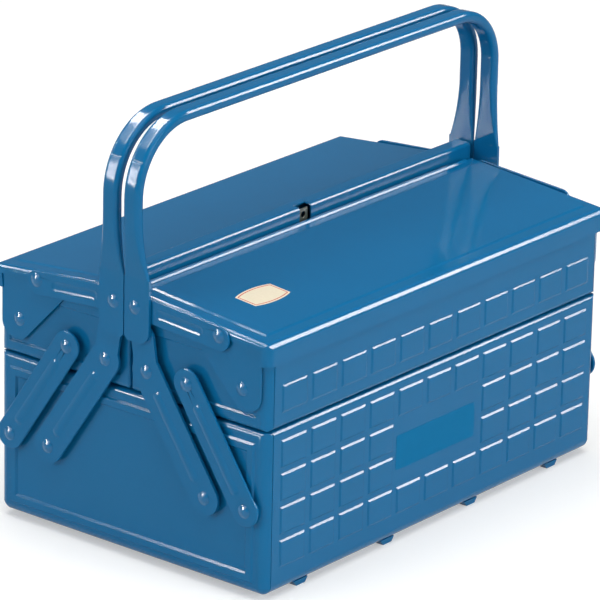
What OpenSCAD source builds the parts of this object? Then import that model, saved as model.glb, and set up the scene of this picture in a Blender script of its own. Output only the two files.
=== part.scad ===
// Two stage cantilever tool box of pressed and painted sheet steel.
// X runs along the length, the front is towards -Y, Z is up.
// The ground is Z = 0 under the pressed feet.

/* [Base] */
// length over the end plates of base and trays
body_l = 334; // [300:1:380]
// depth of the base from front wall to back wall
body_w = 216; // [200:1:250]
// height of the base rim above the ground
base_h = 109.5; // [95:0.5:130]
// sheet thickness of base, trays and lids
sheet_t = 1; // [0.8:0.1:1.4]
// outside radius of the upright corners
corner_r = 8; // [5:0.5:10]
// outside radius of the bottom bends
bend_r = 8; // [5:0.5:10]
// width of the rim ledge turned inwards
rim_w = 7; // [5:0.5:10]
// radius of the outer rim edge
rim_r = 3.2; // [1.6:0.1:4]
// distance of the upright seam from the end face
seam_in = 6.2; // [5.5:0.1:9]
// open width of the seam
seam_gap = 0.4; // [0.2:0.1:0.8]
// width of the welding laps behind the seam
lap_w = 9; // [6:0.5:12]

/* [Feet] */
// height of the pressed feet
foot_h = 3; // [2:0.5:5]
// width of a foot where it meets the bottom
foot_w = 13; // [10:0.5:18]
// distance between neighbouring feet
foot_pitch = 85; // [70:1:95]
// distance of the foot ends from the front and back faces
foot_end = 4; // [3:0.5:12]

/* [Pressed pattern] */
// number of pad columns on each long side
pad_cols = 11; // [9:1:11]
// number of pad rows on the base
pad_rows = 4; // [3:1:4]
// distance between pad columns
pad_pitch_x = 28.4; // [26:0.1:28.6]
// distance between pad rows
pad_pitch_z = 21.65; // [20:0.05:22]
// width of a pad at its foot
pad_w = 24; // [20:0.5:25]
// height of a pad at its foot
pad_h = 17.8; // [15:0.1:18.5]
// how far the pads stand out
pad_d = 0.8; // [0.6:0.1:1.4]
// width of the sloping pad edge
pad_bevel = 1.2; // [1:0.1:2.5]
// distance of the first pad row below the rim
pad_top = 6.8; // [5:0.1:9]
// height of the tray pads above the tray bottom
tray_pad_z = 10; // [7:0.5:12]

/* [End frame] */
// distance of the raised frame from the end plate edges
bead_in = 9.4; // [9:0.1:14]
// distance of the raised frame from the ground and the rim
bead_in_z = 8; // [6:0.5:12]
// width of the raised frame
bead_w = 6.6; // [5:0.1:9]
// how far the raised frame stands out
bead_d = 1.2; // [0.8:0.1:1.4]
// radius of the pivot bosses
boss_r = 7.5; // [6.5:0.1:9]

/* [Trays] */
// gap between base rim and tray bottom
tray_gap = 0.8; // [0.5:0.1:1.5]
// height of the tray front wall
tray_h = 47.5; // [40:0.5:50]
// outside radius of the tray bottom bends
tray_bend_r = 4; // [3:0.5:6]
// half of the gap between the two trays
tray_split = 0.6; // [0.4:0.1:1]
// depth of the pressed field in the tray ends
field_d = 1; // [0.6:0.1:1]
// height of the field edge above the tray bottom
field_z = 9; // [7:0.5:11]
// height of the field in the tray ends
field_h = 31; // [26:0.5:33]

/* [Lids] */
// height of the outer lid edge above the base rim
lid_z = 57.8; // [54:0.1:60]
// rise of each lid from its outer edge to the middle
lid_rise = 9.9; // [6:0.1:12]
// overhang of the lids at the front and back
lid_over = 2; // [1.8:0.1:3]
// depth of the outer lid flange
lid_flange = 14.3; // [12:0.1:16]
// depth of the end and inner lid flanges
lid_edge = 6; // [5:0.1:7]
// radius of the outer lid bend
lid_bend_r = 5; // [3:0.5:6]
// radius of the lid end bends
lid_end_r = 3.5; // [2:0.5:4]
// radius of the lid corners seen from above
lid_corner_r = 6; // [4:0.5:8]
// half of the gap between the two lids
lid_split = 0.7; // [0.5:0.1:1]
// distance of the raised lid panel from the edges
panel_in = 10; // [7:0.5:14]
// how far the lid panel is raised
panel_d = 0.8; // [0.5:0.1:1.2]
// radius of the inner lid bends
lid_in_r = 2.4; // [1.5:0.1:3]
// width of the ridge on the back lid
rib_w = 13; // [11:0.5:16]
// height of the ridge above the lids
rib_h = 9; // [7:0.5:11]
// radius of the ridge edges
rib_r = 2.4; // [1.5:0.1:3]
// width of the padlock notch
notch_w = 11.5; // [11:0.5:15]
// width of the padlock staple
staple_w = 8.5; // [6:0.5:9]
// padlock hole in the staple
staple_hole = 4; // [3:0.5:4.5]

/* [Linkage] */
// distance of the arm pivot on the base from the middle
arm_u = 63; // [60:0.5:66]
// distance of the base pivots below the rim
pivot_drop = 51; // [48:0.5:54]
// distance from arm pivot to link pivot
link_gap = 31.7; // [30:0.1:32]
// how far the arms lean in towards the middle
arm_lean = 46.5; // [44:0.5:48]
// rise of the arms from base pivot to tray pivot
arm_rise = 69.5; // [66:0.5:72]
// width of the arms
arm_w = 22; // [18:0.5:23]
// width of the links
link_w = 20; // [16:0.5:22]
// thickness of arms and links
arm_t = 2; // [1.5:0.1:2]
// width of the lid straps
strap_w = 15.5; // [15:0.5:17]
// drop of the lower strap end below its rivet
strap_drop = 1.7; // [1:0.1:2]
// thickness of the lid straps
strap_t = 1.5; // [1.2:0.1:1.7]
// height of the rounded ribs pressed into arms and links
press_h = 0.8; // [0.5:0.1:1.1]
// width of the ribs pressed into arms and links
rib_press_w = 7; // [5:0.1:8]
// width of the rounded groove in the straps
groove_w = 6.5; // [5:0.1:8]
// depth of the rounded groove in the straps
groove_d = 0.7; // [0.4:0.1:0.9]
// distance of the lid pivot from the tray front
lid_piv_u = 18.9; // [17:0.1:21]
// height of the lid pivot above the tray bottom
lid_piv_z = 24.6; // [23:0.1:26]
// strap pivot on the lid, inwards from the lid pivot
ear_u = 16.4; // [15:0.1:18]
// strap pivot on the lid, above the lid pivot
ear_z = 30.3; // [29:0.1:31]
// strap pivot on the handle, inwards from the arm pivot
leg_u = 7.9; // [6:0.1:9]
// strap pivot on the handle, above the arm pivot
leg_z = 40.2; // [38:0.1:42]
// depth of a lid wing below the lid pivot
ear_low = 13; // [12:0.5:14]
// reach of a lid wing outwards from the lid pivot
ear_out = 14.5; // [13:0.5:16]
// reach of a lid wing inwards from the strap pivot
ear_in = 20; // [18:0.5:22]
// foot of the slanting wing edge, inwards from the lid pivot
ear_foot = 3; // [1:0.1:5]
// lean of the slanting wing edge from the upright
ear_lean = 43.6; // [40:0.2:48]
// radius of the rivet shanks
pin_r = 2.5; // [2:0.1:3]
// running clearance around a shank
fit = 0.05; // [0.02:0.01:0.09]
// radial play of the strap on the lid rivet
strap_play = 1.7; // [1.6:0.1:2]
// radius of the rivet heads
head_r = 4.4; // [4:0.1:6]
// height of the rivet heads
head_h = 1.5; // [1.1:0.1:2.2]
// radius of the rivet collars
collar_r = 6; // [5:0.1:6.4]

/* [Handles] */
// height of the handle top above the ground
top_z = 283.8; // [270:0.2:296]
// width of a handle bow
bow_w = 12; // [11:0.1:13]
// thickness of a handle bow
bow_t = 7.2; // [6.6:0.1:7.6]
// edge radius of a handle bow
bow_r = 3.1; // [2:0.1:3.2]
// outside radius of the left bow corners
bow_bend_l = 47.5; // [42:0.5:50]
// outside radius of the right bow corners
bow_bend_r = 40; // [36:0.5:48]
// half of the gap between the two bows
bow_split = 2.4; // [1:0.1:2.6]
// depth of the mark that the bending former left
crease_d = 0.3; // [0.2:0.1:0.5]
// place of the mark, degrees up the bow corner
crease_a = 30; // [20:1:40]
// start of the flattening above the lid middle
flat_low = 10; // [8:0.5:12]
// height over which the tube is flattened into a leg
flat_h = 40; // [34:0.5:42]
// height of the leg ends above the arm pivots
leg_drop = 18; // [16:0.5:20]
// width of the flattened handle legs
leg_w = 19.4; // [17:0.1:21]
// thickness of the flattened handle legs
leg_t = 2; // [1.5:0.1:2]

/* [Hidden] */
$fn = 48;
blue = [0.157, 0.451, 0.647];
steel = [0.62, 0.64, 0.66];
hl = body_l / 2;
hw = body_w / 2;
foot_top = foot_h;
pivot_z = base_h - pivot_drop;
seam_x = hl - seam_in;
tray_z = base_h + tray_gap;
tray_top = tray_z + tray_h;
lid_u = hw + lid_over;
lid_top = base_h + lid_z;
lid_mid = lid_top + lid_rise;
lid_tilt = atan(lid_rise / lid_u);
// layers outside the end plates
ear_d = 0.7;
edge_d = ear_d + sheet_t;
lid_hl = hl + edge_d + sheet_t;
strap_d = edge_d + sheet_t + 0.3;
leg_d = strap_d + strap_t + 0.3;
arm_d = leg_d - arm_t;
bow_d = leg_d;
// pivots as distance from the middle and height
p_a0 = [arm_u, pivot_z];
p_a1 = [arm_u - arm_lean, pivot_z + arm_rise];
p_b0 = [arm_u + link_gap, pivot_z];
p_b1 = [arm_u + link_gap - arm_lean, pivot_z + arm_rise];
p_c = [hw - lid_piv_u, tray_z + lid_piv_z];
p_s1 = [hw - lid_piv_u - ear_u, tray_z + lid_piv_z + ear_z];
p_s0 = [p_a1[0] - leg_u, p_a1[1] + leg_z];
strap_end = [p_s1[0], p_s1[1] - strap_drop];
arm_top = [p_a1[0] - 3.5, p_s0[1] - strap_w / 2 - 2.4 - (arm_w - 4) / 2];
leg_low = p_a1[1] + leg_drop;
strap_pin = 2.25;
leg_split = 0.4;
loft_in = 0.02;
ball_out = 0.25;
crease_r = 2;
strap_mid = 0.4;
lap_root = 1.5;
lap_play = 0.06;

// piece of a square outside a rounded corner at the origin
module bite(r) {
    difference() {
        translate([-1, -1]) square(r + 1);
        translate([r, r]) circle(r);
    }
}

// what a bend of radius r leaves of a corner at the origin between walls at angles a and b
module nick(a, b, r) {
    m = (a + b) / 2;
    h = (b - a) / 2;
    t = r / tan(h);
    c = r / sin(h) * [cos(m), sin(m)];
    difference() {
        polygon([[-cos(m), -sin(m)], t * [cos(a), sin(a)] + [sin(a), -cos(a)], c,
            t * [cos(b), sin(b)] + [-sin(b), cos(b)]]);
        translate(c) circle(r);
    }
}

// rectangle from [x0, y0] to [x1, y1] with four corner radii, anticlockwise from low left
module rrect(x0, y0, x1, y1, ra, rb, rc, rd) {
    difference() {
        translate([x0, y0]) square([x1 - x0, y1 - y0]);
        if (ra > 0) translate([x0, y0]) bite(ra);
        if (rb > 0) translate([x1, y0]) rotate(90) bite(rb);
        if (rc > 0) translate([x1, y1]) rotate(180) bite(rc);
        if (rd > 0) translate([x0, y1]) rotate(270) bite(rd);
    }
}

// outline of distance and height, drawn on the left end, d outside the end plate
module on_end(d, t) {
    translate([-hl - d, 0, 0]) rotate([90, 0, -90]) linear_extrude(t) children();
}

// outline of distance and height, drawn along the length
module along_x(half) {
    translate([half, 0, 0]) rotate([90, 0, -90]) linear_extrude(2 * half) children();
}

// outline of X and height, drawn from the back to the front
module along_y(y0, y1) {
    translate([0, y1, 0]) rotate([90, 0, 0]) linear_extrude(y1 - y0) children();
}

module flip_x() { mirror([1, 0, 0]) children(); }
module flip_y() { mirror([0, 1, 0]) children(); }
module both_ends() {
    children();
    flip_x() children();
}

// flat bar with round ends
module bar(p, q, w) {
    l = norm(q - p);
    a = atan2(q[1] - p[1], q[0] - p[0]);
    translate(p) rotate(a) translate([0, 0.02 - w / 2]) square([l, w - 0.04]);
    translate(p) circle(w / 2);
    translate(q) circle(w / 2);
}

// round bar of radius r from s to e, its axis at depth d
module rod(s, e, r, d) {
    translate([-hl - d, -s[0], s[1]]) rotate([atan2(e[0] - s[0], e[1] - s[1]), 0, 0]) {
        cylinder(r = r, h = norm(e - s));
        sphere(r + 0.04);
        translate([0, 0, norm(e - s)]) sphere(r + 0.04);
    }
}

// rounded rib on a bar with its face at depth d, from fraction a to fraction b of its length
module press_rib(p, q, a, b, d) {
    r = (pow(rib_press_w / 2, 2) + pow(press_h, 2)) / (2 * press_h);
    s = p + (q - p) * a;
    e = p + (q - p) * b;
    intersection() {
        on_end(d - 0.3, 4) bar(s, e, 2 * r);
        rod(s, e, r, d + press_h - r);
    }
}

// shank of a rivet between two depths
module shank(a, b, r) { translate([0, a]) square([r, b - a]); }

// domed rivet head standing on depth a
module dome(a, r, h) {
    s = (r * r + h * h) / (2 * h);
    intersection() {
        translate([0, a]) square([r, h]);
        translate([0, a + h - s]) circle(s);
    }
}

// rivet profile turned about a pivot on the left end
module turned(p) {
    translate([-hl, -p[0], p[1]]) rotate([0, -90, 0]) rotate_extrude() children();
}

// one row of sloping teeth for the pressed pattern
module teeth(n, pitch, w, d, b) {
    for (i = [0 : n - 1])
        translate([(i - (n - 1) / 2) * pitch, 0])
        polygon([[-w / 2, -0.5], [w / 2, -0.5], [w / 2, 0], [w / 2 - b, d], [b - w / 2, d], [-w / 2, 0]]);
}

// pressed pads on the front wall, rows centred on height zc
module pads(rows, zc) {
    intersection() {
        translate([0, -hw, zc - rows * pad_pitch_z])
            linear_extrude(2 * rows * pad_pitch_z) mirror([0, 1])
            teeth(pad_cols, pad_pitch_x, pad_w, pad_d, pad_bevel);
        translate([0, -hw, zc]) rotate([0, 90, 0]) translate([0, 0, -hl])
            linear_extrude(body_l) mirror([0, 1])
            teeth(rows, pad_pitch_z, pad_h, pad_d, pad_bevel);
    }
}

// what a rounded bottom corner leaves of a square one, taken in by o
module corner_waste(o) {
    r = min(corner_r, bend_r);
    translate([r - hl, r - hw, foot_top + r]) difference() {
        translate([-r - 1, -r - 1, -r - 1]) cube(r + 1);
        sphere(r - o + ball_out);
    }
}

// solid block with the outline of the base, taken in by o
module base_block(o) {
    difference() {
        intersection() {
            linear_extrude(base_h - o)
                rrect(o - hl, o - hw, hl - o, hw - o, corner_r - o, corner_r - o, corner_r - o, corner_r - o);
            along_x(hl)
                rrect(o - hw, foot_top + o, hw - o, base_h - o, bend_r - o, bend_r - o, rim_r - o, rim_r - o);
            along_y(-hw, hw)
                rrect(o - hl, foot_top + o, hl - o, base_h - o, bend_r - o, bend_r - o, rim_r - o, rim_r - o);
        }
        both_ends() {
            corner_waste(o);
            flip_y() corner_waste(o);
        }
    }
}

module base_shell() {
    difference() {
        base_block(0);
        base_block(sheet_t);
        translate([rim_w - hl, rim_w - hw, base_h - 2 * sheet_t])
            cube([body_l - 2 * rim_w, body_w - 2 * rim_w, 4 * sheet_t]);
    }
}

// foot pressed out of the bottom, outside or inside face
module foot(o) {
    along_y(foot_end + o - hw, hw - foot_end - o)
        polygon([[o - foot_w / 2, foot_top + o + 0.4], [foot_w / 2 - o, foot_top + o + 0.4],
            [foot_w / 2 - o, foot_top + o], [foot_w / 2 - o - 2.4, o], [o + 2.4 - foot_w / 2, o],
            [o - foot_w / 2, foot_top + o]]);
}

module feet(o) {
    for (i = [-1.5 : 1 : 1.5]) translate([i * foot_pitch, 0, 0]) foot(o);
}

// front, bottom and back of the base in one folded sheet
module base_wrap() {
    color(blue)
    difference() {
        union() {
            intersection() {
                base_shell();
                translate([-seam_x, -hw - 1, 0]) cube([2 * seam_x, body_w + 2, base_h + 1]);
            }
            feet(0);
            difference() {
                pads(pad_rows, base_h - pad_top - pad_h / 2 - (pad_rows - 1) * pad_pitch_z / 2);
                name_field();
            }
            flip_y() difference() {
                pads(pad_rows, base_h - pad_top - pad_h / 2 - (pad_rows - 1) * pad_pitch_z / 2);
                name_field();
            }
        }
        feet(sheet_t);
    }
}

// middle of the pattern that stays flat
module name_field() {
    zc = base_h - pad_top - pad_h / 2 - (pad_rows - 1) * pad_pitch_z / 2;
    translate([-1.5 * pad_pitch_x, -hw - 3, zc - pad_pitch_z])
        cube([3 * pad_pitch_x, 3, 2 * pad_pitch_z]);
}

// sloping edged frame on the left base end
module bead(o, grow) {
    b = 1.2;
    y = hw - bead_in - o;
    z0 = foot_top + bead_in_z + o;
    z1 = base_h - bead_in_z + 0.5 - o;
    zm = (z0 + z1) / 2;
    h = (z1 - z0) / 2;
    g = grow ? b : -b;
    translate([-hl, 0, zm]) intersection() {
        rotate([0, 0, 90]) translate([0, 0, -h - 3]) linear_extrude(2 * h + 6)
            polygon([[-y, -0.5], [y, -0.5], [y, 0], [y + g, bead_d], [-y - g, bead_d], [-y, 0]]);
        rotate([90, 90, 0]) mirror([0, 1, 0]) translate([0, 0, -y - 3]) linear_extrude(2 * y + 6)
            polygon([[-h, -0.5], [h, -0.5], [h, 0], [h + g, bead_d], [-h - g, bead_d], [-h, 0]]);
    }
}

// section of a welding lap, Y inwards from the outside of the sheet, clear of the bend of radius r
module lap(r) {
    x0 = -seam_x - lap_root;
    x1 = max(-seam_x, r - hl);
    gap = r - sqrt(pow(r - sheet_t, 2) - pow(max(r - seam_in, 0), 2)) - sheet_t + lap_play;
    translate([x0, 0.8 * sheet_t]) square([lap_root - seam_gap, 1.2 * sheet_t]);
    translate([x0, sheet_t + gap]) square([lap_root + lap_w, sheet_t - gap]);
    translate([x1, sheet_t]) square([lap_w - seam_x - x1, sheet_t]);
}

module base_end() {
    difference() {
        union() {
            intersection() {
                base_shell();
                translate([-hl - 1, -hw - 1, 0])
                    cube([seam_in - seam_gap + 1, body_w + 2, base_h + 1]);
            }
            difference() {
                bead(0, false);
                bead(bead_w, true);
            }
            for (s = [-1, 1]) for (p = [p_a0, p_b0])
                on_end(-0.5, bead_d + 0.5) translate([s * p[0], p[1]]) circle(boss_r);
            // welding laps behind the long sheet
            for (s = [0, 1]) mirror([0, s, 0]) translate([0, -hw, foot_top + bend_r + 4])
                linear_extrude(base_h - bend_r - foot_top - 12) lap(corner_r);
            translate([0, hw - bend_r - 4, foot_top]) rotate([90, 0, 0])
                linear_extrude(body_w - 2 * bend_r - 8) lap(bend_r);
        }
        for (s = [-1, 1]) for (p = [p_a0, p_b0])
            on_end(-4, 8) translate([s * p[0], p[1]]) circle(pin_r + fit);
    }
}

module base_end_left() { color(blue) base_end(); }
module base_end_right() { color(blue) flip_x() base_end(); }

// shouldered rivet from the inside of a wall at depth w to the head outside depth b
module shoulder_rivet(p, w, c, b, head) {
    turned(p) {
        shank(w - sheet_t - 1.5, w - sheet_t, pin_r + 1.6);
        shank(w - sheet_t, b, pin_r);
        shank(w, c, collar_r);
        dome(b, head_r, head);
    }
}

// rivets on which the arms and links turn on the base
module base_pivot_rivets() {
    color(steel) both_ends() for (s = [-1, 1]) for (p = [p_a0, p_b0])
        base_rivet([s * p[0], p[1]]);
}

module base_rivet(p) {
    turned(p) {
        shank(-sheet_t - 1.5, -sheet_t, pin_r + 1.6);
        shank(-sheet_t, arm_d + arm_t + 0.1, pin_r);
        shank(bead_d, arm_d - 0.1, collar_r);
        dome(arm_d + arm_t + 0.1, head_r, head_h);
    }
}

// block with the outline of the front tray, taken in by o
module tray_block(o) {
    u0 = tray_split + o;
    u1 = hw - o;
    h = lid_mid - tray_z;
    intersection() {
        translate([0, 0, tray_z - 1]) linear_extrude(h + 2)
            rrect(o - hl, -u1, hl - o, -u0, corner_r - o, corner_r - o, 2 - o, 2 - o);
        along_x(hl) rrect(u0, tray_z + o, u1, tray_z + h, tray_bend_r - o, tray_bend_r - o, 0, 0);
        along_y(-hw, 0) rrect(o - hl, tray_z + o, hl - o, tray_z + h, tray_bend_r - o, tray_bend_r - o, 0, 0);
    }
}

module tray_shell() {
    difference() {
        tray_block(0);
        tray_block(sheet_t);
        translate([-hl - 1, -hw - 1, lid_mid - 2]) cube([body_l + 2, hw + 2, 10]);
    }
}

// front, bottom and inner wall of a tray in one folded sheet
module tray_wrap() {
    intersection() {
        tray_shell();
        translate([-seam_x, -hw - 1, tray_z - 1]) cube([2 * seam_x, hw + 2, tray_h + 1]);
    }
    pads(1, tray_z + tray_pad_z + pad_h / 2);
}

function lid_line(u) = lid_mid - lid_rise * u / lid_u;

// tray end plate with its rounded corners
module tray_end() {
    f0 = 9;
    f1 = hw - 10;
    difference() {
        union() {
            intersection() {
                tray_shell();
                translate([-hl - 1, -hw - 1, tray_z - 1])
                    cube([seam_in - seam_gap + 1, hw + 2, lid_mid]);
                along_x(hl + 1) polygon([[0, tray_z], [hw, tray_z], [hw, tray_top - 0.5],
                    [hw - 8, lid_line(hw) - 5], [p_c[0] - 1, lid_line(p_c[0]) - 2.2 * sheet_t],
                    [4, lid_line(4) - 2.2 * sheet_t], [4, tray_top], [0, tray_top]]);
            }
            on_end(-sheet_t - field_d, field_d + 0.2)
                translate([f0 - 1.2, tray_z + field_z - 1.2]) square([f1 - f0 + 2.4, field_h + 2.4]);
            // welding laps behind the long sheet
            translate([0, -hw, tray_z + tray_bend_r + 4])
                linear_extrude(tray_h - tray_bend_r - 7) lap(corner_r);
            translate([0, -tray_split, tray_z + tray_bend_r + 4])
                linear_extrude(tray_h - tray_bend_r - 7) mirror([0, 1]) lap(tray_bend_r);
            translate([0, -tray_bend_r - 4, tray_z]) rotate([90, 0, 0])
                linear_extrude(hw - 2 * tray_bend_r - 10) lap(tray_bend_r);
        }
        // pressed field with sloping edges
        field(f0, f1);
        for (p = [p_a1, p_b1, p_c]) on_end(-5, 8) translate(p) circle(pin_r + fit);
    }
}

module field(f0, f1) {
    um = (f0 + f1) / 2;
    y = (f1 - f0) / 2;
    h = field_h / 2;
    b = 1;
    translate([-hl, -um, tray_z + field_z + h]) intersection() {
        rotate([0, 0, 90]) translate([0, 0, -h - 3]) linear_extrude(2 * h + 6)
            polygon([[-y, -field_d], [y, -field_d], [y + b, 0], [y + b, 1], [-y - b, 1], [-y - b, 0]]);
        rotate([90, 90, 0]) mirror([0, 1, 0]) translate([0, 0, -y - 3]) linear_extrude(2 * y + 6)
            polygon([[-h, -field_d], [h, -field_d], [h + b, 0], [h + b, 1], [-h - b, 1], [-h - b, 0]]);
    }
}

module tray_rivets() {
    both_ends() {
        for (p = [p_a1, p_b1])
            shoulder_rivet(p, -field_d, arm_d - 0.1, arm_d + arm_t + 0.1, head_h);
        shoulder_rivet(p_c, -field_d, ear_d - 0.05, edge_d + 0.05, head_h);
    }
}

module front_tray_wrap() { color(blue) tray_wrap(); }
module back_tray_wrap() { color(blue) flip_y() tray_wrap(); }
module front_tray_end_left() { color(blue) tray_end(); }
module front_tray_end_right() { color(blue) flip_x() tray_end(); }
module back_tray_end_left() { color(blue) flip_y() tray_end(); }
module back_tray_end_right() { color(blue) flip_x() flip_y() tray_end(); }
module front_tray_rivets() { color(steel) tray_rivets(); }
module back_tray_rivets() { color(steel) flip_y() tray_rivets(); }

// solid block with the outline of the front lid, taken in by o
module lid_block(o) {
    u0 = lid_split + o;
    u1 = lid_u - o;
    z0 = lid_top - lid_flange - 4 * o;
    difference() {
        intersection() {
            translate([0, 0, z0]) linear_extrude(lid_u)
                rrect(o - lid_hl, -u1, lid_hl - o, -u0, lid_corner_r - o, lid_corner_r - o, 0, 0);
            translate([0, 0, lid_mid - o]) rotate([lid_tilt, 0, 0]) rotate([90, 0, 0])
                translate([0, 0, -10]) linear_extrude(lid_u + 40)
                rrect(o - lid_hl, -lid_u, lid_hl - o, 0, 0, 0, lid_end_r - o, lid_end_r - o);
        }
        along_x(lid_hl + 1) {
            translate([u1, lid_line(u1) - o]) nick(180 - lid_tilt, 270, lid_bend_r - o);
            translate([u0, lid_line(u0) - o]) nick(270, 360 - lid_tilt, lid_in_r - o);
        }
    }
}

// raised panel on a lid, from distance ua to ub
module lid_panel(ua, ub) {
    um = (ua + ub) / 2;
    y = (ub - ua) / 2;
    xx = lid_hl - panel_in;
    b = 1.4;
    translate([0, 0, lid_mid]) rotate([lid_tilt, 0, 0]) translate([0, -um, 0]) intersection() {
        rotate([0, 90, 0]) rotate([0, 0, 90]) translate([0, 0, -xx - 3]) linear_extrude(2 * xx + 6)
            polygon([[-y, -0.4], [y, -0.4], [y, 0], [y - b, panel_d], [b - y, panel_d], [-y, 0]]);
        rotate([90, 0, 0]) translate([0, 0, -y - 3]) linear_extrude(2 * y + 6)
            polygon([[-xx, -0.4], [xx, -0.4], [xx, 0], [xx - b, panel_d], [b - xx, panel_d], [-xx, 0]]);
    }
}

// space below the short flanges
module lid_cut() {
    translate([0, 0, lid_mid]) rotate([lid_tilt, 0, 0])
        translate([-lid_hl - 2, lid_corner_r - lid_u, -lid_edge - lid_u])
        cube([2 * lid_hl + 4, lid_u + 4, lid_u]);
}

module lid_shell() {
    difference() {
        lid_block(0);
        lid_block(sheet_t);
        lid_cut();
        // room for the strap rivets in the end flanges
        both_ends() on_end(0, 8) translate(p_s1) circle(strap_pin + 1.4);
    }
}

module front_lid() {
    color(blue) {
        lid_shell();
        lid_panel(panel_in, lid_u - panel_in);
    }
}

// ridge of the back lid, drawn on the front side
module ridge(o) {
    along_x(lid_hl - o)
        rrect(lid_split + o, lid_mid - 4, lid_split + rib_w - o, lid_mid + rib_h - o,
            0, 0, rib_r - o, rib_r - o);
}

module back_lid() {
    color(blue) flip_y() difference() {
        union() {
            difference() {
                union() {
                    lid_shell();
                    difference() {
                        ridge(0);
                        lid_block(0.05);
                    }
                }
                ridge(sheet_t);
            }
            lid_panel(rib_w + panel_in - 4, lid_u - panel_in);
        }
        translate([-notch_w / 2, -lid_split - 6, lid_mid - lid_edge - 4])
            cube([notch_w, 8, lid_edge + rib_h + 8]);
    }
}

// padlock staple welded inside the front lid, its tongue stands in the notch
module front_staple() {
    u = lid_split + sheet_t;
    z = lid_line(lid_split) - lid_edge;
    // the weld tab ends below the bend of the lid
    zt = lid_line(lid_split) - lid_in_r - 0.4;
    color(blue) difference() {
        along_x(staple_w / 2) polygon([[u, zt], [u + 1.2, zt], [u + 1.2, z - 1.5], [-3.6, z - 1.5],
            [-3.6, lid_mid + rib_h - 2.2], [-2.4, lid_mid + rib_h - 2.2], [-2.4, z - 0.3], [u, z - 0.3]]);
        translate([0, 0, lid_mid + rib_h - 2.2 - staple_hole]) rotate([-90, 0, 0])
            cylinder(d = staple_hole, h = 8);
    }
}

// outline of the wing that carries a lid on its pivot
module ear_outline() {
    difference() {
        intersection() {
            translate([0, p_c[1] - ear_low]) rrect(p_s1[0] - ear_in, 0, p_c[0] + ear_out, lid_u, 8, 10, 0, 0);
            polygon([[0, lid_line(0) - sheet_t - 3], [lid_u, lid_line(lid_u) - sheet_t - 3],
                [lid_u, 0], [0, 0]]);
        }
        translate([p_c[0] - ear_foot, p_c[1] - ear_low]) rotate(ear_lean)
            translate([-lid_u, -lid_u]) square([lid_u, 2 * lid_u]);
    }
}

module ear() {
    difference() {
        on_end(ear_d, sheet_t) ear_outline();
        on_end(-5, 12) translate(p_c) circle(pin_r + fit);
        on_end(-5, 12) translate(p_s1) circle(strap_pin + fit);
    }
}

// rivets that hold the straps on the lid wings
module ear_rivets() {
    both_ends() turned(p_s1) {
        shank(ear_d, strap_d + strap_t + 0.1, strap_pin);
        shank(edge_d, strap_d - 0.1, strap_pin + 1.2);
        dome(strap_d + strap_t + 0.1, head_r, head_h);
    }
}

module front_lid_ear_left() { color(blue) ear(); }
module front_lid_ear_right() { color(blue) flip_x() ear(); }
module back_lid_ear_left() { color(blue) flip_y() ear(); }
module back_lid_ear_right() { color(blue) flip_x() flip_y() ear(); }
module front_ear_rivets() { color(steel) ear_rivets(); }
module back_ear_rivets() { color(steel) flip_y() ear_rivets(); }

// section of a handle bow, X across its thickness and Y across its width
module bow_section() {
    rrect(-bow_t / 2, -bow_w / 2, bow_t / 2, bow_w / 2, bow_r, bow_r, bow_r, bow_r);
}

// ring of points on a rounded rectangle from [x0, y0] to [x1, y1] at height z
function ring(x0, y0, x1, y1, r, z, n) = [
    for (c = [[x1 - r, y1 - r, 0], [x0 + r, y1 - r, 90], [x0 + r, y0 + r, 180], [x1 - r, y0 + r, 270]])
    for (i = [0 : n])
    [c[0] + r * cos(c[2] + 90 * i / n), c[1] + r * sin(c[2] + 90 * i / n), z]];

// part f of the way from the flat leg to the round edged tube
function flat(leg, tube, f) = tube + (leg - tube) * pow(1 - f, 2);

// flattening of the tube into a leg, ending just inside both
module flattening() {
    m = 9;
    n = 4;
    e = loft_in;
    x = -hl - leg_d - e;
    z = lid_mid + flat_low - 1;
    pts = [for (k = [0 : m]) let (f = k / m) each ring(
        x - flat(leg_t, bow_t, f) + 2 * e, e - flat(leg_split + leg_w, bow_split + bow_w, f),
        x, -e - flat(leg_split, bow_split, f),
        flat(0.45 * leg_t, bow_r, f), z + (flat_h + 2) * f, n)];
    q = 4 * (n + 1);
    polyhedron(pts, concat(
        [[for (i = [0 : q - 1]) i], [for (i = [0 : q - 1]) m * q + q - 1 - i]],
        [for (k = [0 : m - 1]) for (i = [0 : q - 1]) [k * q + i, k * q + q + i, k * q + q + (i + 1) % q]],
        [for (k = [0 : m - 1]) for (i = [0 : q - 1])
            [k * q + i, k * q + q + (i + 1) % q, k * q + (i + 1) % q]]));
}

// upright and corner of a bow at the left end, with the corner radius rb
module bow_corner(rb) {
    xc = hl + bow_d + bow_t / 2;
    rc = rb - bow_t / 2;
    z1 = lid_mid + flat_low + flat_h;
    zc = top_z - rb;
    difference() {
        translate([-xc, -bow_split - bow_w / 2, 0]) {
            translate([0, 0, z1]) linear_extrude(zc - z1) bow_section();
            translate([rc, 0, zc]) rotate([90, 0, 0]) rotate([0, 0, 90])
                rotate_extrude(angle = 90) translate([rc, 0]) bow_section();
        }
        // mark of the bending former
        translate([rc - xc, 0, zc]) rotate([0, crease_a, 0]) translate([crease_d - rb - crease_r, 0, 0])
            rotate([90, 0, 0]) cylinder(r = crease_r, h = 3 * bow_w);
    }
}

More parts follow.
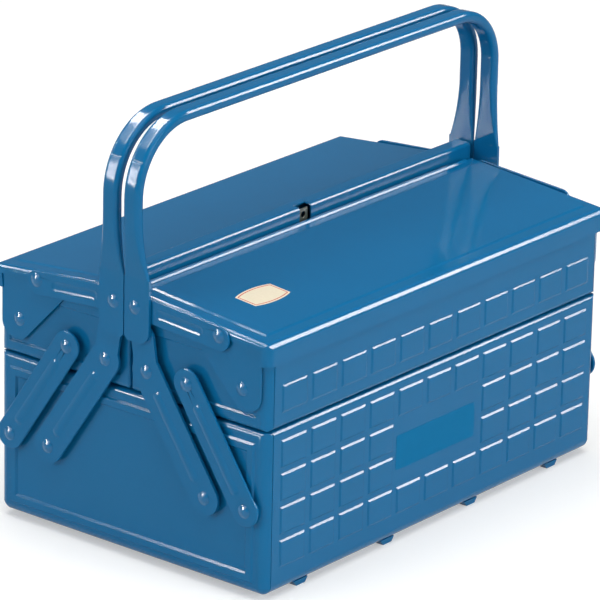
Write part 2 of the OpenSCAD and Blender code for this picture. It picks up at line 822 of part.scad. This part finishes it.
// front handle, a flat tube bow with flattened legs
module handle() {
    xl = hl + bow_d + bow_t - bow_bend_l;
    xr = hl + bow_d + bow_t - bow_bend_r;
    bow_corner(bow_bend_l);
    flip_x() bow_corner(bow_bend_r);
    translate([-xl, -bow_split - bow_w / 2, top_z - bow_t / 2]) rotate([0, 90, 0])
        linear_extrude(xl + xr) bow_section();
    both_ends() {
        flattening();
        on_end(leg_d, leg_t) difference() {
            rrect(leg_split, leg_low, leg_split + leg_w, lid_mid + flat_low, 4, 8, 0, 0);
            translate(p_s0) circle(strap_pin + fit);
        }
    }
}

module front_handle() { color(blue) handle(); }
module back_handle() { color(blue) flip_y() handle(); }

// arm from the base pivot past the tray pivot to the back of the handle leg
module arm() {
    difference() {
        union() {
            on_end(arm_d, arm_t) {
                bar(p_a0, p_a1, arm_w);
                bar(p_a1, arm_top, arm_w - 4);
            }
            press_rib(p_a0, p_a1, 0.17, 0.8, arm_d + arm_t);
        }
        for (p = [p_a0, p_a1]) on_end(0, 20) translate(p) circle(pin_r + fit);
    }
}

module link() {
    difference() {
        union() {
            on_end(arm_d, arm_t) bar(p_b0, p_b1, link_w);
            press_rib(p_b0, p_b1, 0.17, 0.8, arm_d + arm_t);
        }
        for (p = [p_b0, p_b1]) on_end(0, 20) translate(p) circle(pin_r + fit);
    }
}

// strap from the handle leg to the lid wing
module strap() {
    difference() {
        on_end(strap_d, strap_t) bar(p_s0, strap_end, strap_w);
        // keeps clear of the strap of the other tray
        on_end(0, 20) translate([strap_mid - hw, 0]) square([hw, 2 * lid_mid]);
        on_end(0, 20) translate(p_s0) circle(strap_pin + fit);
        on_end(0, 20) translate(p_s1) circle(strap_pin + strap_play);
        // pressed groove
        strap_groove();
    }
}

module strap_groove() {
    r = (pow(groove_w / 2, 2) + pow(groove_d, 2)) / (2 * groove_d);
    a = p_s0 + (strap_end - p_s0) * 0.28;
    b = p_s0 + (strap_end - p_s0) * 0.76;
    rod(a, b, r, strap_d + strap_t - groove_d + r);
}

// rivets that hold the straps on the handle legs
module leg_rivets() {
    both_ends() turned(p_s0) {
        shank(strap_d, leg_d + leg_t, strap_pin);
        shank(strap_d + strap_t + 0.1, leg_d, strap_pin + 2.5);
        dome(leg_d + leg_t, head_r, head_h);
    }
}

module front_arm_left() { color(blue) arm(); }
module front_arm_right() { color(blue) flip_x() arm(); }
module back_arm_left() { color(blue) flip_y() arm(); }
module back_arm_right() { color(blue) flip_x() flip_y() arm(); }
module front_link_left() { color(blue) link(); }
module front_link_right() { color(blue) flip_x() link(); }
module back_link_left() { color(blue) flip_y() link(); }
module back_link_right() { color(blue) flip_x() flip_y() link(); }
module front_strap_left() { color(blue) strap(); }
module front_strap_right() { color(blue) flip_x() strap(); }
module back_strap_left() { color(blue) flip_y() strap(); }
module back_strap_right() { color(blue) flip_x() flip_y() strap(); }
module front_leg_rivets() { color(steel) leg_rivets(); }
module back_leg_rivets() { color(steel) flip_y() leg_rivets(); }

base_wrap();
base_end_left();
base_end_right();
base_pivot_rivets();
front_tray_wrap();
front_tray_end_left();
front_tray_end_right();
front_tray_rivets();
front_lid();
front_lid_ear_left();
front_lid_ear_right();
front_ear_rivets();
front_staple();
front_handle();
front_arm_left();
front_arm_right();
front_leg_rivets();
front_link_left();
front_link_right();
front_strap_left();
front_strap_right();
back_tray_wrap();
back_tray_end_left();
back_tray_end_right();
back_tray_rivets();
back_lid();
back_lid_ear_left();
back_lid_ear_right();
back_ear_rivets();
back_handle();
back_arm_left();
back_arm_right();
back_leg_rivets();
back_link_left();
back_link_right();
back_strap_left();
back_strap_right();
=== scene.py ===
import math

import bpy
from mathutils import Matrix, Vector


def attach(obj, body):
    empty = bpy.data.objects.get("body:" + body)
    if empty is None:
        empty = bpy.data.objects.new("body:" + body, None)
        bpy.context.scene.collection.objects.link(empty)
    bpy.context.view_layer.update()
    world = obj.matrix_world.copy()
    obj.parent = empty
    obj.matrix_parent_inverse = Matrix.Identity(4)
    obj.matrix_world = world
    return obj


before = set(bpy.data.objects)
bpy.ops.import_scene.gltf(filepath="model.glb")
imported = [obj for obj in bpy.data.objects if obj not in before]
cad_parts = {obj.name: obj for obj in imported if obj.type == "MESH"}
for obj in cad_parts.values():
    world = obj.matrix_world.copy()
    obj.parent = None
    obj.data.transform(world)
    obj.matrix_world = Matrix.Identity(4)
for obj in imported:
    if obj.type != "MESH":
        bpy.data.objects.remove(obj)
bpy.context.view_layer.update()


# Base of the box: front, bottom and back folded from one steel sheet with pressed pads and
# feet, and an end plate spot welded into each end. The parts were dipped in blue stoving
# enamel and baked, so base, trays, lids, linkage and bows all wear the same glossy coat.
MM = 0.001
BLUE = "0d699c"
BLUE_THIN = "0b6393"
RUN_MM = 70.0
PEEL_MM = 2.4
PEEL_DEPTH_MM = 0.05
SHEARED_EDGE_MM = 0.35
SHARP_EDGE_DEGREES = 28
SAME_POINT_MM = 0.005


def linear(hex_colour):
    """sRGB hex to the linear colour that a shader socket takes."""
    out = []
    for i in (0, 2, 4):
        c = int(hex_colour[i:i + 2], 16) / 255
        out.append(c / 12.92 if c <= 0.04045 else ((c + 0.055) / 1.055) ** 2.4)
    return (*out, 1.0)


def new_material(name):
    mat = bpy.data.materials.new(name)
    mat.use_nodes = True
    mat.node_tree.nodes.clear()
    return mat, mat.node_tree


def add(tree, kind, settings=None, links=None):
    """Adds a node, sets its properties and sockets, and links other nodes' outputs to it."""
    node = tree.nodes.new(kind)
    for name, value in (settings or {}).items():
        if hasattr(node, name):
            setattr(node, name, value)
        else:
            node.inputs[name].default_value = value
    for name, source in (links or {}).items():
        tree.links.new(source, node.inputs[name])
    return node


# Stoving enamel: a hard glossy coat with a faint orange peel that softens reflections, and
# a trace thinner and darker where it ran down while it was wet.
enamel, tree = new_material("blue_stoving_enamel")
coords = add(tree, "ShaderNodeTexCoord")
run = add(tree, "ShaderNodeTexNoise", {"Scale": 1 / (RUN_MM * MM), "Detail": 3.0},
          {"Vector": coords.outputs["Object"]})
tint = add(tree, "ShaderNodeMix", {"data_type": "RGBA"}, {"Factor": run.outputs["Fac"]})
tint.inputs["A"].default_value = linear(BLUE)
tint.inputs["B"].default_value = linear(BLUE_THIN)
gloss = add(tree, "ShaderNodeMapRange", {"To Min": 0.11, "To Max": 0.14},
            {"Value": run.outputs["Fac"]})
peel = add(tree, "ShaderNodeTexNoise", {"Scale": 1 / (PEEL_MM * MM), "Detail": 1.0},
           {"Vector": coords.outputs["Object"]})
bump = add(tree, "ShaderNodeBump", {"Strength": 0.06, "Distance": PEEL_DEPTH_MM * MM},
           {"Height": peel.outputs["Fac"]})
coat = add(tree, "ShaderNodeBsdfPrincipled", {"IOR": 1.5, "Specular IOR Level": 0.15},
           {"Base Color": tint.outputs["Result"], "Roughness": gloss.outputs["Result"],
            "Normal": bump.outputs["Normal"]})
add(tree, "ShaderNodeOutputMaterial", None, {"Surface": coat.outputs["BSDF"]})


def enamelled(*nodes, edge_mm=SHEARED_EDGE_MM, paint=enamel):
    """Coats CAD nodes with a paint, which also rounds their sheared edges a little."""
    for node in nodes:
        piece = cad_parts[node]
        if piece.material_slots:
            for slot in piece.material_slots:
                slot.material = paint
        else:
            piece.data.materials.append(paint)
        weld = piece.modifiers.new("one_skin", "WELD")
        weld.merge_threshold = SAME_POINT_MM * MM
        edge = piece.modifiers.new("rounded_edges", "BEVEL")
        edge.limit_method = "ANGLE"
        edge.angle_limit = math.radians(SHARP_EDGE_DEGREES)
        edge.width = edge_mm * MM
        edge.segments = 3
        shade = piece.modifiers.new("even_shading", "WEIGHTED_NORMAL")
        shade.weight = 50


enamelled("base_wrap", "base_end_left", "base_end_right")


# Spot weld marks: where the long sheet is welded to the laps of the end plates, the
# electrode left a row of shallow dished rings beside each upright seam, under the paint.
WELD_MARK_MM = 2.1
WELD_RISE_MM = 0.12
WELD_DISH_MM = 0.08
WELD_RING_MM = 0.5
WELD_HEIGHTS_MM = (31, 60, 89)
WELD_FROM_MIDDLE_MM = 157.0
FRONT_MM = 108.0
bpy.ops.object.select_all(action="DESELECT")
bpy.ops.mesh.primitive_circle_add(vertices=28, radius=WELD_MARK_MM * MM, fill_type="NGON")
mark = bpy.context.object
bpy.ops.object.mode_set(mode="EDIT")
bpy.ops.mesh.select_all(action="SELECT")
bpy.ops.mesh.inset(thickness=WELD_RING_MM * MM)
bpy.ops.transform.translate(value=(0, 0, WELD_RISE_MM * MM))
bpy.ops.mesh.inset(thickness=WELD_RING_MM * MM)
bpy.ops.transform.translate(value=(0, 0, -WELD_DISH_MM * MM))
bpy.ops.object.mode_set(mode="OBJECT")
bpy.ops.object.shade_smooth()
marks = []
for side in (-1, 1):
    for end in (-1, 1):
        for height in WELD_HEIGHTS_MM:
            copy = mark.copy()
            copy.data = mark.data.copy()
            bpy.context.scene.collection.objects.link(copy)
            copy.rotation_euler = (math.radians(-90 * side), 0, 0)
            copy.location = (end * WELD_FROM_MIDDLE_MM * MM, side * FRONT_MM * MM, height * MM)
            marks.append(copy)
bpy.data.objects.remove(mark)
bpy.ops.object.select_all(action="DESELECT")
for copy in marks:
    copy.select_set(True)
bpy.context.view_layer.objects.active = marks[0]
bpy.ops.object.transform_apply(location=True, rotation=True, scale=True)
bpy.ops.object.join()
weld_marks = bpy.context.object
weld_marks.name = "spot_weld_marks"
weld_marks.data.materials.clear()
weld_marks.data.materials.append(enamel)
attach(weld_marks, "base")


# Front film: a thin plain vinyl film with round corners, stuck on the flat middle field of
# the base front. It is a shade clearer blue than the enamel round it.
FILM_MM = (79.0, 23.0)
FILM_MIDDLE_MM = (-2.0, 60.8)
FILM_THICK_MM = 0.12
FILM_CORNER_MM = 1.5
FILM_BLUE = "056e9f"
FILM_BLUE_DEEP = "046a9a"
WAVE_MM = 9.0
WAVE_DEPTH_MM = 0.03
bpy.ops.object.select_all(action="DESELECT")
bpy.ops.mesh.primitive_plane_add(size=1)
film = bpy.context.object
film.name = "front_film"
bpy.ops.object.mode_set(mode="EDIT")
bpy.ops.mesh.select_all(action="SELECT")
bpy.ops.transform.resize(value=(FILM_MM[0] * MM, FILM_MM[1] * MM, 1))
bpy.ops.mesh.bevel(affect="VERTICES", offset=FILM_CORNER_MM * MM, segments=6)
bpy.ops.object.mode_set(mode="OBJECT")
film.rotation_euler = (math.radians(90), 0, 0)
film.location = (FILM_MIDDLE_MM[0] * MM, -FRONT_MM * MM, FILM_MIDDLE_MM[1] * MM)
bpy.ops.object.transform_apply(location=True, rotation=True, scale=True)
thick = film.modifiers.new("film", "SOLIDIFY")
thick.thickness = FILM_THICK_MM * MM
thick.offset = 1
bpy.ops.object.modifier_apply(modifier="film")

# Calendered vinyl: even and half matt, with a very slight waviness from the roller.
vinyl, tree = new_material("blue_vinyl_film")
coords = add(tree, "ShaderNodeTexCoord")
wave = add(tree, "ShaderNodeTexNoise", {"Scale": 1 / (WAVE_MM * MM), "Detail": 1.0},
           {"Vector": coords.outputs["Object"]})
bump = add(tree, "ShaderNodeBump", {"Strength": 0.05, "Distance": WAVE_DEPTH_MM * MM},
           {"Height": wave.outputs["Fac"]})
tint = add(tree, "ShaderNodeMix", {"data_type": "RGBA"}, {"Factor": wave.outputs["Fac"]})
tint.inputs["A"].default_value = linear(FILM_BLUE)
tint.inputs["B"].default_value = linear(FILM_BLUE_DEEP)
skin = add(tree, "ShaderNodeBsdfPrincipled",
           {"IOR": 1.45, "Roughness": 0.4, "Specular IOR Level": 0.05},
           {"Base Color": tint.outputs["Result"], "Normal": bump.outputs["Normal"]})
add(tree, "ShaderNodeOutputMaterial", None, {"Surface": skin.outputs["BSDF"]})
film.data.materials.append(vinyl)
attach(film, "base")


# Base pivot rivets: shouldered steel rivets with low round heads, on which the arms and
# links turn. They were set before the box was dipped, so they are blue too.

# Enamel on rivet heads: the rivet set left the heads smooth and the paint drew tight over
# them, so the same coat shines more there.
rivet_enamel = enamel.copy()
rivet_enamel.name = "blue_stoving_enamel_on_rivets"
rivet_coat = rivet_enamel.node_tree.nodes["Principled BSDF"]
rivet_coat.inputs["Specular IOR Level"].default_value = 0.36
enamelled("base_pivot_rivets", paint=rivet_enamel)


# Trays: a folded sheet with one row of pressed pads for front, bottom and inner wall, and
# end plates with a pressed field, spot welded. Their rivets carry arms, links and lid wings.
enamelled("front_tray_wrap", "front_tray_end_left", "front_tray_end_right",
          "back_tray_wrap", "back_tray_end_left", "back_tray_end_right")
enamelled("front_tray_rivets", "back_tray_rivets", paint=rivet_enamel)


# Lids: pressed sheet with a deep outer flange and a raised panel. The back lid has the
# hollow ridge with the padlock notch, in which the front lid's staple stands.
enamelled("front_lid", "back_lid")


# Padlock staple: a small steel tab with a hole for the shackle, welded inside the front lid.
# It was fixed after the dipping, so it shows the grey green of its phosphate coat.
GRAIN_MM = 0.8
GRAIN_DEPTH_MM = 0.02
PHOSPHATE_GREY = "4a514a"
PHOSPHATE_PALE = "5a6056"

# Zinc phosphate on steel: fine dull crystals, uneven in tone and a little waxed.
phosphate, tree = new_material("zinc_phosphated_steel")
coords = add(tree, "ShaderNodeTexCoord")
grain = add(tree, "ShaderNodeTexNoise", {"Scale": 1 / (GRAIN_MM * MM), "Detail": 3.0},
            {"Vector": coords.outputs["Object"]})
tint = add(tree, "ShaderNodeMix", {"data_type": "RGBA"}, {"Factor": grain.outputs["Fac"]})
tint.inputs["A"].default_value = linear(PHOSPHATE_GREY)
tint.inputs["B"].default_value = linear(PHOSPHATE_PALE)
bump = add(tree, "ShaderNodeBump", {"Strength": 0.1, "Distance": GRAIN_DEPTH_MM * MM},
           {"Height": grain.outputs["Fac"]})
wax = add(tree, "ShaderNodeBsdfPrincipled", {"Roughness": 0.22, "Specular IOR Level": 0.4},
          {"Base Color": tint.outputs["Result"], "Normal": bump.outputs["Normal"]})
add(tree, "ShaderNodeOutputMaterial", None, {"Surface": wax.outputs["BSDF"]})
enamelled("front_staple", paint=phosphate)


# Hem of the front lid: along the inner edge of the lid the sheet is folded over on itself, so
# that it stands up a little in front of the ridge, with its fold pressed to a slant.
HEM_MM = (320.0, 2.8, 1.8)
HEM_FROM_MIDDLE_MM = 3.4
HEM_STANDS_MM = 1.3
HEM_SLANT_MM = 1.1
HEM_EDGE_MM = 0.25
LID_MIDDLE_MM = 177.2
LID_FALL = 9.9 / 110
bpy.ops.object.select_all(action="DESELECT")
bpy.ops.mesh.primitive_cube_add(size=1)
hem = bpy.context.object
hem.name = "front_lid_hem"
bpy.ops.object.mode_set(mode="EDIT")
bpy.ops.mesh.select_all(action="SELECT")
bpy.ops.transform.resize(value=[size * MM for size in HEM_MM])
bpy.ops.transform.translate(value=(0, 0, (HEM_STANDS_MM - HEM_MM[2] / 2) * MM))
bpy.ops.mesh.select_mode(type="VERT")
bpy.ops.mesh.select_all(action="DESELECT")
bpy.ops.object.mode_set(mode="OBJECT")
for corner in hem.data.vertices:
    corner.select = corner.co.y < 0 and corner.co.z > 0
bpy.ops.object.mode_set(mode="EDIT")
bpy.ops.mesh.select_mode(type="EDGE")
bpy.ops.mesh.bevel(offset=HEM_SLANT_MM * MM, segments=1)
bpy.ops.mesh.select_all(action="SELECT")
bpy.ops.mesh.bevel(offset=HEM_EDGE_MM * MM, segments=3)
bpy.ops.object.mode_set(mode="OBJECT")
hem.rotation_euler = (math.atan(LID_FALL), 0, 0)
hem.location = (0, -HEM_FROM_MIDDLE_MM * MM,
                (LID_MIDDLE_MM - LID_FALL * HEM_FROM_MIDDLE_MM) * MM)
bpy.ops.object.transform_apply(location=True, rotation=True, scale=True)
hem.data.materials.append(enamel)
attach(hem, "front_lid_set")


# Lid wings and straps: blanked sheet steel. The wings are welded into the lid ends and turn
# on the tray rivets, and the grooved straps between bows and wings push the lids open.
STRAP_EDGE_MM = 0.6
enamelled("front_lid_ear_left", "front_lid_ear_right",
          "back_lid_ear_left", "back_lid_ear_right")
enamelled("front_ear_rivets", "back_ear_rivets", paint=rivet_enamel)
enamelled("front_strap_left", "front_strap_right",
          "back_strap_left", "back_strap_right", edge_mm=STRAP_EDGE_MM)


# Paper sticker on the front lid: barrel shaped, die cut from cream coated paper with a thin
# red border, plain in the middle, and stuck on near the left end.
STICKER_MIDDLE_MM = (-114.5, -59.5)
STICKER_ELLIPSE_MM = (24.7, 10.75)
STICKER_HALF_MM = 16.5
MARGIN_MM = 1.1
BORDER_MM = 0.8
STICKER_THICK_MM = 0.12
PANEL_RISE_MM = 0.8
FIBRE_MM = 1.6
FIBRE_DEPTH_MM = 0.02
CREAM = "e9dfc6"
CREAM_MOTTLE = "dfd3b8"
BORDER_RED = "cf6a60"
BORDER_MOTTLE = "c25a52"
bpy.ops.object.select_all(action="DESELECT")
bpy.ops.mesh.primitive_circle_add(vertices=60, radius=1, fill_type="NGON")
sticker = bpy.context.object
sticker.name = "lid_sticker"
bpy.ops.object.mode_set(mode="EDIT")
bpy.ops.mesh.select_all(action="SELECT")
bpy.ops.transform.resize(value=(STICKER_ELLIPSE_MM[0] * MM, STICKER_ELLIPSE_MM[1] * MM, 1))
for side in (-1, 1):
    bpy.ops.mesh.select_all(action="SELECT")
    bpy.ops.mesh.bisect(plane_co=(side * STICKER_HALF_MM * MM, 0, 0), plane_no=(side, 0, 0),
                        clear_outer=True)
bpy.ops.mesh.select_all(action="SELECT")
bpy.ops.mesh.inset(thickness=MARGIN_MM * MM)
bpy.ops.mesh.inset(thickness=BORDER_MM * MM)
bpy.ops.object.mode_set(mode="OBJECT")


def coated_paper(name, colour, mottle):
    """Coated paper: pale, half matt, with the cloudy mottle of its fibres."""
    paper, tree = new_material(name)
    coords = add(tree, "ShaderNodeTexCoord")
    fibre = add(tree, "ShaderNodeTexNoise", {"Scale": 1 / (FIBRE_MM * MM), "Detail": 4.0},
                {"Vector": coords.outputs["Object"]})
    tint = add(tree, "ShaderNodeMix", {"data_type": "RGBA"}, {"Factor": fibre.outputs["Fac"]})
    tint.inputs["A"].default_value = linear(colour)
    tint.inputs["B"].default_value = linear(mottle)
    bump = add(tree, "ShaderNodeBump", {"Strength": 0.1, "Distance": FIBRE_DEPTH_MM * MM},
               {"Height": fibre.outputs["Fac"]})
    sheet = add(tree, "ShaderNodeBsdfPrincipled", {"Roughness": 0.55, "Specular IOR Level": 0.2},
                {"Base Color": tint.outputs["Result"], "Normal": bump.outputs["Normal"]})
    add(tree, "ShaderNodeOutputMaterial", None, {"Surface": sheet.outputs["BSDF"]})
    return paper


sticker.data.materials.append(coated_paper("cream_coated_paper", CREAM, CREAM_MOTTLE))
sticker.data.materials.append(coated_paper("red_print_on_paper", BORDER_RED, BORDER_MOTTLE))
middle = max(sticker.data.polygons, key=lambda face: face.area)
middle_points = set(middle.vertices)
for face in sticker.data.polygons:
    shared = middle_points.intersection(face.vertices)
    face.material_index = 1 if face != middle and len(shared) == 2 else 0
tilt = math.atan(LID_FALL)
lid_height_mm = LID_MIDDLE_MM + LID_FALL * STICKER_MIDDLE_MM[1] + PANEL_RISE_MM / math.cos(tilt)
sticker.rotation_euler = (tilt, 0, 0)
sticker.location = (STICKER_MIDDLE_MM[0] * MM, STICKER_MIDDLE_MM[1] * MM, lid_height_mm * MM)
bpy.ops.object.transform_apply(location=True, rotation=True, scale=True)
thick = sticker.modifiers.new("paper", "SOLIDIFY")
thick.thickness = STICKER_THICK_MM * MM
thick.offset = 1
bpy.ops.object.modifier_apply(modifier="paper")
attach(sticker, "front_lid_set")


# Arms and links: blanked from 2 mm strip with a rounded rib pressed along each, turning on
# the base and tray rivets. The arms are riveted behind the legs of the bows.
ARM_EDGE_MM = 0.7
enamelled("front_arm_left", "front_arm_right", "front_link_left", "front_link_right",
          "back_arm_left", "back_arm_right", "back_link_left", "back_link_right",
          edge_mm=ARM_EDGE_MM)


# Carrying bows: one for each tray, bent from oval steel tube and hammered flat into legs,
# with a small mark across each corner from the bending former. They lie side by side.
enamelled("front_handle", "back_handle")
enamelled("front_leg_rivets", "back_leg_rivets", paint=rivet_enamel)


# Studio floor: matt pale paper that runs well past the picture, lifted to white for the
# eye and for reflections, so that only the soft shadow under the box shows on it.
FLOOR_M = 24
FLOOR_PALE = "d9d9d7"
FLOOR_LIFT = 0.36
bpy.ops.object.select_all(action="DESELECT")
bpy.ops.mesh.primitive_plane_add(size=FLOOR_M)
floor = bpy.context.object
floor.name = "floor"
floor_mat, tree = new_material("matt_white_paper")
paper = add(tree, "ShaderNodeBsdfDiffuse", {"Color": linear(FLOOR_PALE)})
path = add(tree, "ShaderNodeLightPath")
seen = add(tree, "ShaderNodeMath", {"operation": "MAXIMUM"})
tree.links.new(path.outputs["Is Camera Ray"], seen.inputs[0])
tree.links.new(path.outputs["Is Glossy Ray"], seen.inputs[1])
also = add(tree, "ShaderNodeMath", {"operation": "MAXIMUM"})
tree.links.new(seen.outputs["Value"], also.inputs[0])
tree.links.new(path.outputs["Is Transmission Ray"], also.inputs[1])
lift = add(tree, "ShaderNodeMath", {"operation": "MULTIPLY"})
tree.links.new(also.outputs["Value"], lift.inputs[0])
lift.inputs[1].default_value = FLOOR_LIFT
glow = add(tree, "ShaderNodeEmission", {"Color": linear("ffffff")},
           {"Strength": lift.outputs["Value"]})
both = add(tree, "ShaderNodeAddShader")
tree.links.new(paper.outputs["BSDF"], both.inputs[0])
tree.links.new(glow.outputs["Emission"], both.inputs[1])
add(tree, "ShaderNodeOutputMaterial", None, {"Surface": both.outputs["Shader"]})
floor.data.materials.append(floor_mat)

# Studio light: an even pale room and broad softboxes overhead, in front and at the left. One
# strip at the front right and six from the left round to the back light no surface by
# themselves and show only as white lines in the gloss of bends, edges and rivet heads.
ROOM_LIGHT = 0.23
AIM = Vector((0.0, 0.0, 0.12))
STRIP_M = 10.0
scene = bpy.context.scene
scene.view_settings.view_transform = "Standard"
world = bpy.data.worlds.new("studio")
world.use_nodes = True
room = world.node_tree.nodes["Background"]
room.inputs["Color"].default_value = linear("ffffff")
room.inputs["Strength"].default_value = ROOM_LIGHT
scene.world = world


def softbox(name, low, high, distance, width, watts, only_gloss=False):
    """A flat softbox that reaches from one direction up to another, seen from the box."""
    low = Vector(low).normalized()
    high = Vector(high).normalized()
    lamp = bpy.data.lights.new(name, "AREA")
    lamp.shape = "RECTANGLE"
    lamp.size = width
    lamp.size_y = (high - low).length * distance
    lamp.energy = watts
    facing = (low + high).normalized()
    side = (high - low).cross(facing).normalized()
    along = facing.cross(side)
    holder = bpy.data.objects.new(name, lamp)
    axes = Matrix((side, along, facing)).transposed()
    holder.matrix_world = Matrix.Translation(AIM + facing * distance) @ axes.to_4x4()
    holder.visible_diffuse = not only_gloss
    scene.collection.objects.link(holder)


softbox("overhead_softbox", (-0.2, -0.7, 0.8), (0.1, 0.65, 1.0), 4.0, 3.0, 144)
softbox("front_softbox", (0.0, -1.0, 0.05), (0.0, -1.0, 0.7), 5.0, 3.0, 124)
softbox("left_softbox", (-1.0, 0.4, 0.1), (-1.0, 0.4, 0.8), 5.0, 3.0, 90)
for name, low, high, width, watts in (
        ("front_right_strip", (0.675, -0.65, 0.2), (0.675, -0.28, 0.615), 1.2, 930),
        ("left_back_low_strip", (-0.81, 0.505, 0.03), (-0.702, 0.505, 0.405), 1.2, 1130),
        ("left_back_middle_strip", (-0.43, 0.505, 0.687), (-0.158, 0.505, 0.794), 1.2, 860),
        ("left_back_high_strip", (-0.158, 0.505, 0.794), (0.3385, 0.505, 0.7353), 1.2, 1500),
        ("bow_low_strip", (-0.78, 0.625, 0.03), (-0.70, 0.625, 0.34), 0.3, 330),
        ("bow_high_strip", (0.05, 0.625, 0.78), (0.33, 0.625, 0.70), 0.3, 330),
        ("back_strip", (-0.615, 0.697, 0.36), (-0.21, 0.7235, 0.665), 0.6, 800)):
    softbox(name, low, high, STRIP_M, width, watts, only_gloss=True)

# Camera at the photograph's angle, worked out for a square picture.
AZIMUTH = math.radians(-51.256)
ELEVATION = math.radians(20.227)
ROLL = math.radians(-1.224)
DISTANCE = 3.20915
PICTURE_PX = 600
FOCAL_PX = 5091.15
RIGHT_PX = 4.453
DOWN_PX = 5.188
SENSOR_MM = 36
back = Vector((math.sin(AZIMUTH) * math.cos(ELEVATION),
               -math.cos(AZIMUTH) * math.cos(ELEVATION), math.sin(ELEVATION)))
right = Vector((math.cos(AZIMUTH), math.sin(AZIMUTH), 0))
up = back.cross(right)
turned_right = math.cos(ROLL) * right - math.sin(ROLL) * up
turned_up = math.sin(ROLL) * right + math.cos(ROLL) * up
lens = bpy.data.cameras.new("camera")
lens.sensor_width = SENSOR_MM
lens.lens = FOCAL_PX / PICTURE_PX * SENSOR_MM
lens.shift_x = -RIGHT_PX / PICTURE_PX
lens.shift_y = DOWN_PX / PICTURE_PX
lens.clip_end = 50
camera = bpy.data.objects.new("camera", lens)
axes = Matrix((turned_right, turned_up, back)).transposed()
camera.matrix_world = Matrix.Translation(AIM + back * DISTANCE) @ axes.to_4x4()
scene.collection.objects.link(camera)
scene.camera = camera
